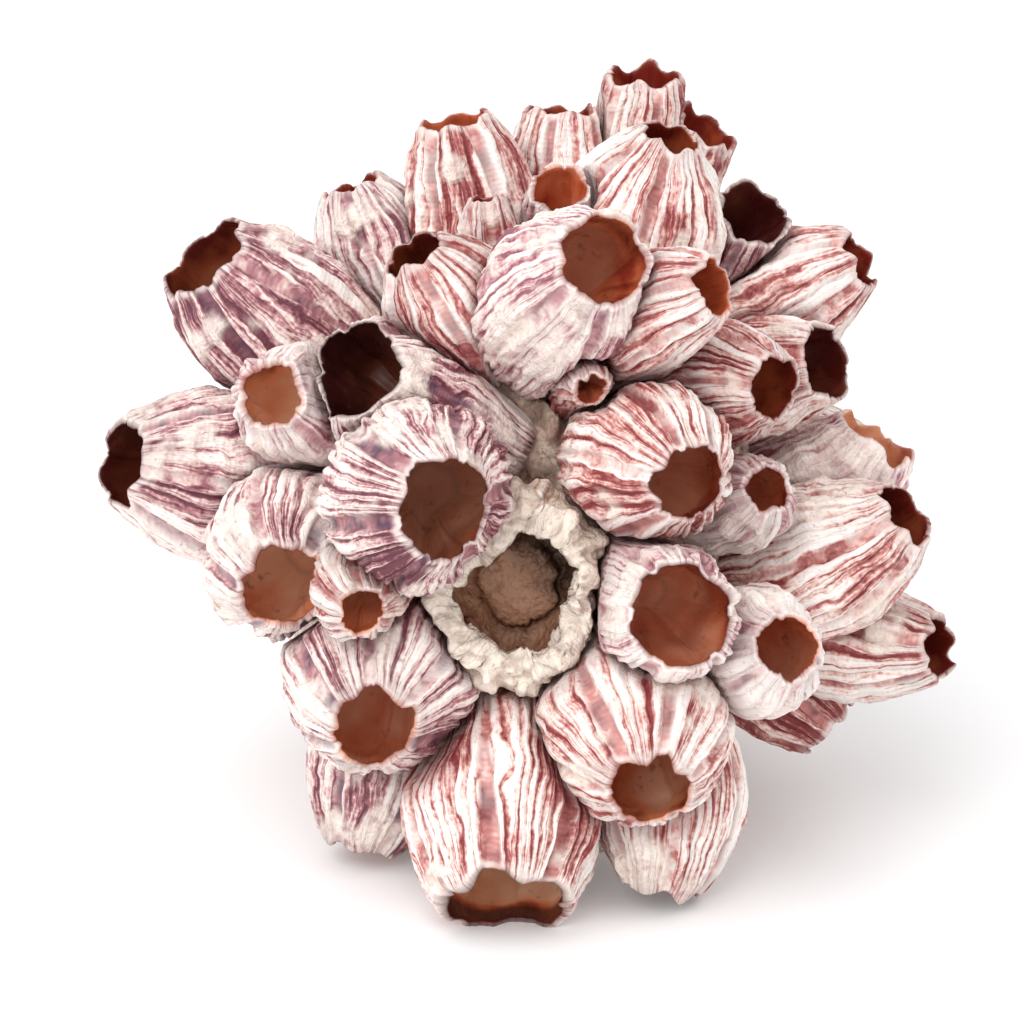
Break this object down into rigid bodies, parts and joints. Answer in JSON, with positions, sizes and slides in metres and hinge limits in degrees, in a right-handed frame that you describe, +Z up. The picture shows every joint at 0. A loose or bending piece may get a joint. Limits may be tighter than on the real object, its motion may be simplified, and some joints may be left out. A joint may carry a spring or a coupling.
{
  "type": "barnacle cluster",
  "caption": "Ball-shaped cluster of giant acorn barnacle shells, ribbed barrels striped rosy and white with open mouths, grown on old shell that is cut flat underneath.",
  "frame": {"origin": "centre of the bounding box on the surface it rests on", "axes": "+Z up from the flat cut face, -Y towards the viewer of the picture, +X to that viewer's right"},
  "size_m": [0.1359, 0.1248, 0.1137],
  "materials": {
    "rosy_shell": "ribbed shell, rose and off-white stripes, satin",
    "plum_shell": "ribbed shell, plum and off-white stripes, satin",
    "chalky_shell": "worn chalky shell with faint rose stripes, matt",
    "eroded_shell": "rough pitted old shell, matt",
    "old_crust": "rough chalky crust, matt"
  },
  "bodies": {
    "root": {"upper_left_wide": "plum_shell", "upper_left_back": "plum_shell", "upper_left_tall": "rosy_shell", "upper_back_left": "rosy_shell", "upper_pocket": "plum_shell", "upper_cone": "rosy_shell", "crown_top": "rosy_shell", "crown_right": "rosy_shell", "upper_right_dark": "plum_shell", "right_striped": "rosy_shell", "chalky_knob": "chalky_shell", "knob_side": "rosy_shell", "right_upper_barrel": "rosy_shell", "right_dark_pocket": "rosy_shell", "under_knob": "rosy_shell", "middle_barrel": "rosy_shell", "right_small_pocket": "chalky_shell", "right_far_plates": "chalky_shell", "right_long": "rosy_shell", "right_low": "rosy_shell", "right_low_back": "rosy_shell", "left_long_dark": "plum_shell", "left_small_white": "chalky_shell", "left_wing": "plum_shell", "left_low_barrel": "plum_shell", "left_front": "plum_shell", "little_front": "rosy_shell", "old_open_shell": "eroded_shell", "lower_left_front": "plum_shell", "front_foot": "rosy_shell", "lower_right_barrel": "rosy_shell", "right_front_open": "chalky_shell", "right_white": "chalky_shell", "right_foot": "rosy_shell", "left_foot": "plum_shell", "tucked_small": "rosy_shell", "upper_left_striped": "rosy_shell", "back_low_left": "plum_shell", "back_low_middle_left": "rosy_shell", "back_low_middle_right": "plum_shell", "back_low_right": "rosy_shell", "back_left": "rosy_shell", "back_middle_left": "chalky_shell", "back_middle_right": "rosy_shell", "back_right": "plum_shell", "back_high_left": "plum_shell", "back_high_middle": "rosy_shell", "back_high_right": "chalky_shell", "back_top": "rosy_shell", "top_middle": "chalky_shell", "right_side_high": "plum_shell", "right_side_low": "rosy_shell", "left_side_middle": "chalky_shell", "left_side_low": "rosy_shell", "left_side_high": "plum_shell", "left_side_front": "plum_shell", "left_side_back": "plum_shell", "grown_base": "old_crust"}
  },
  "joints": []
}
